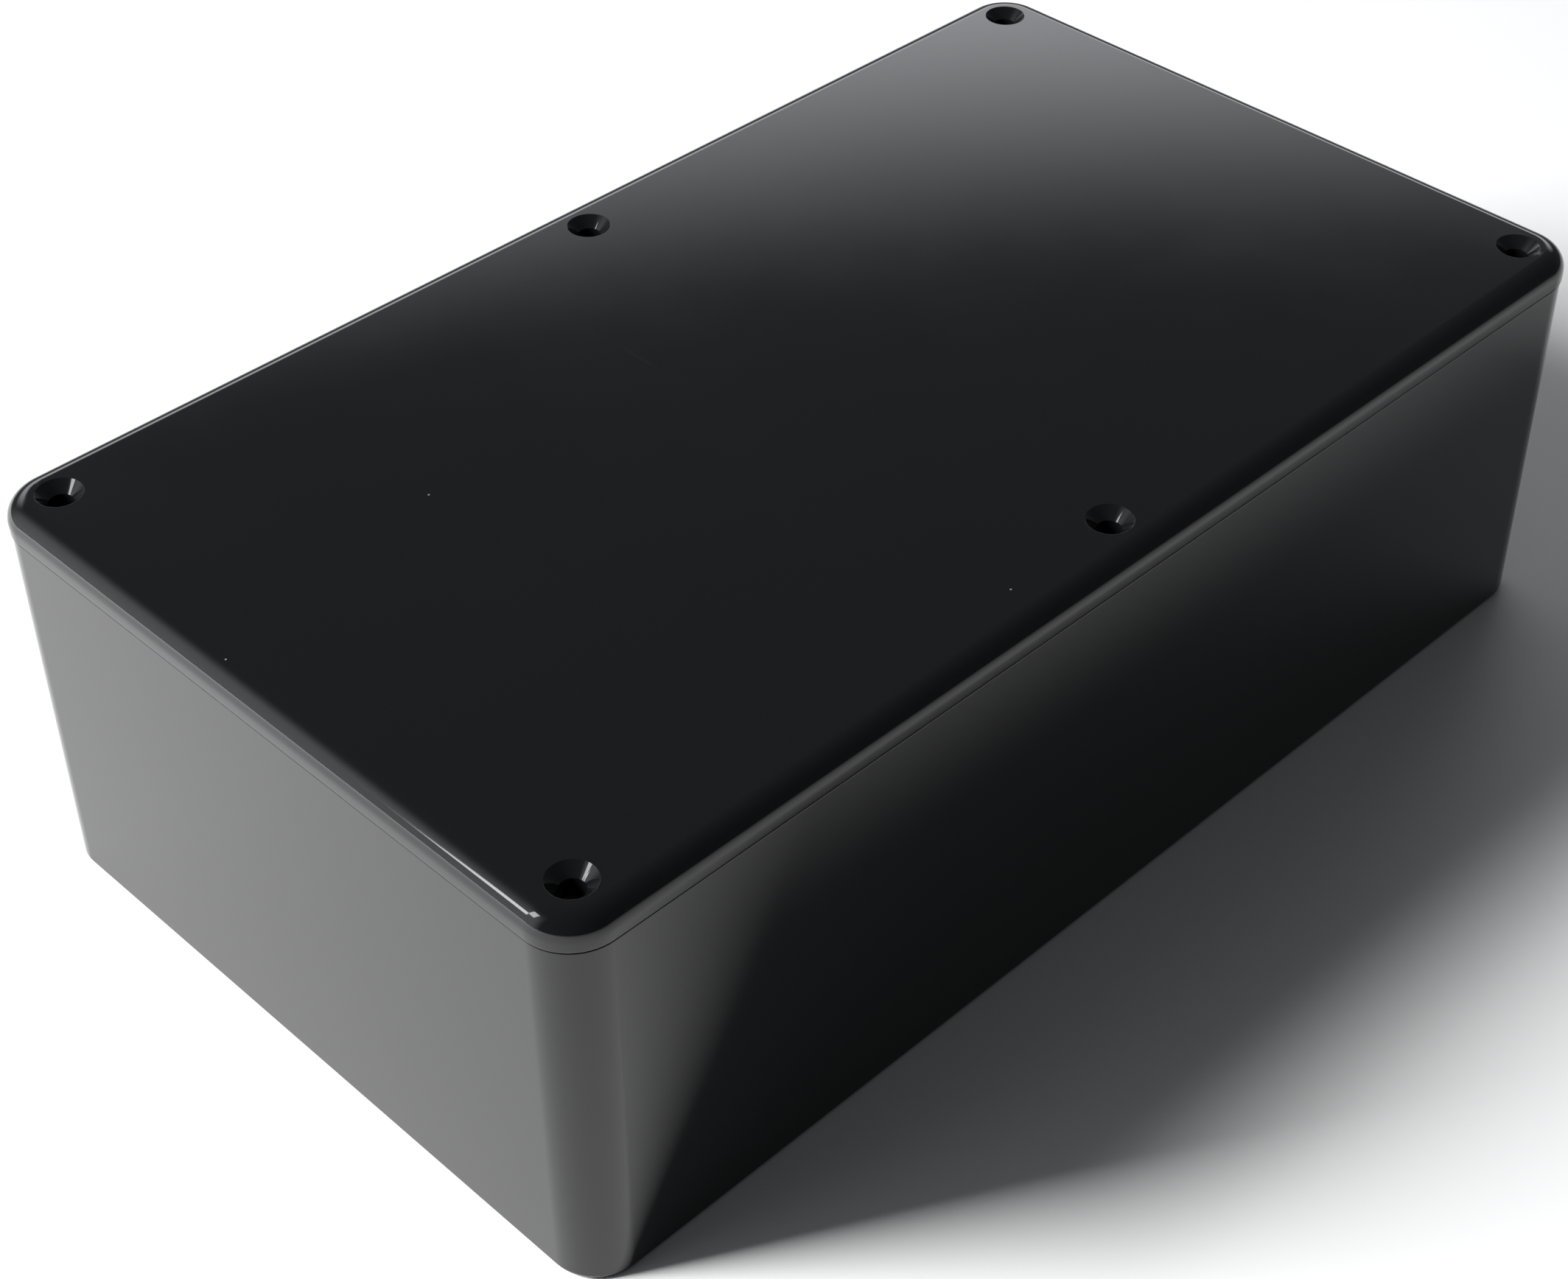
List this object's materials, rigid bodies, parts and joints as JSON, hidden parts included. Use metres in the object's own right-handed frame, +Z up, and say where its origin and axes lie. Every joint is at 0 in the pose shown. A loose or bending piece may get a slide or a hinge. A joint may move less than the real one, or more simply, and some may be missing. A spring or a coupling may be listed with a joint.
{
  "type": "cellular signal booster",
  "caption": "Closed black rectangular case with a flat screw-down lid; antenna sockets, power socket, switch and status lamps on one end, and the amplifier board inside.",
  "frame": {"origin": "middle of the case's flat underside", "axes": "+X along the case to the end that holds the sockets, +Y across it to the server antenna's side, +Z up through the lid"},
  "size_m": [0.203, 0.11, 0.06],
  "materials": {
    "case_plastic": "black moulded ABS, high gloss",
    "insert_brass": "knurled brass",
    "board_laminate": "green solder mask",
    "screw_steel": "zinc plated",
    "port_nickel": "nickel plated brass",
    "contact_gold": "gold plated",
    "port_insulator": "white PTFE",
    "coax_jacket": "brown FEP",
    "silver_plate": "silver plated block",
    "shield_tin": "tin plated sheet",
    "chip_epoxy": "black epoxy",
    "pad_silicone": "thermal pad",
    "sink_black": "black anodised",
    "capacitor_sleeve": "sleeve and aluminium top",
    "ferrite": "ferrite",
    "chip_ceramic": "ceramic chip parts",
    "fuse_glass": "glass tube with metal caps",
    "terminal_plastic": "green nylon",
    "header_plastic": "ivory nylon",
    "socket_plastic": "satin black plastic",
    "wire_red": "PVC",
    "wire_black": "PVC",
    "ribbon_grey": "PVC",
    "lamp_lens": "clear green epoxy"
  },
  "bodies": {
    "case": {"box_body": "case_plastic", "lid_inserts": "insert_brass", "main_board": "board_laminate", "board_screws": "screw_steel", "donor_port_shell": "port_nickel", "donor_port_insulator": "port_insulator", "donor_port_contact": "contact_gold", "donor_port_washer": "port_nickel", "donor_port_nut": "port_nickel", "server_port_shell": "port_nickel", "server_port_insulator": "port_insulator", "server_port_contact": "contact_gold", "server_port_washer": "port_nickel", "server_port_nut": "port_nickel", "donor_lead": "coax_jacket", "donor_lead_plug": "contact_gold", "server_lead": "coax_jacket", "server_lead_plug": "contact_gold", "board_jacks": "contact_gold", "donor_duplexer": "silver_plate", "donor_tuning_screws": "insert_brass", "server_duplexer": "silver_plate", "server_tuning_screws": "insert_brass", "uplink_shield_frame": "shield_tin", "uplink_shield_cover": "shield_tin", "downlink_shield_frame": "shield_tin", "downlink_shield_cover": "shield_tin", "uplink_chips": "chip_epoxy", "downlink_chips": "chip_epoxy", "power_amplifiers": "chip_epoxy", "thermal_pads": "pad_silicone", "heat_sink": "sink_black", "heat_sink_screws": "screw_steel", "controller_chip": "chip_epoxy", "crystal": "shield_tin", "surface_parts": "chip_ceramic", "capacitors": "capacitor_sleeve", "power_inductor": "ferrite", "regulator": "chip_epoxy", "fuse": "fuse_glass", "fuse_clips": "port_nickel", "terminal_block": "terminal_plastic", "led_header": "header_plastic", "power_jack_body": "socket_plastic", "power_jack_pin": "port_nickel", "power_jack_nut": "port_nickel", "switch_frame": "socket_plastic", "switch_terminals": "port_nickel", "positive_lead": "wire_red", "switched_lead": "wire_red", "negative_lead": "wire_black", "status_leds": "lamp_lens", "led_board": "board_laminate", "led_ribbon": "ribbon_grey"},
    "lid": {"lid": "case_plastic"},
    "rocker": {"switch_rocker": "socket_plastic"}
  },
  "joints": [
    {"name": "lid_lift", "type": "slide", "parent": "case", "child": "lid", "axis": [0, 0, 1], "range_m": [0, 0.08]},
    {"name": "switch_rock", "type": "hinge", "parent": "case", "child": "rocker", "pos_m": [0.0936, 0, 0.036], "axis": [0, 0, 1], "range_deg": [0, 18]}
  ]
}
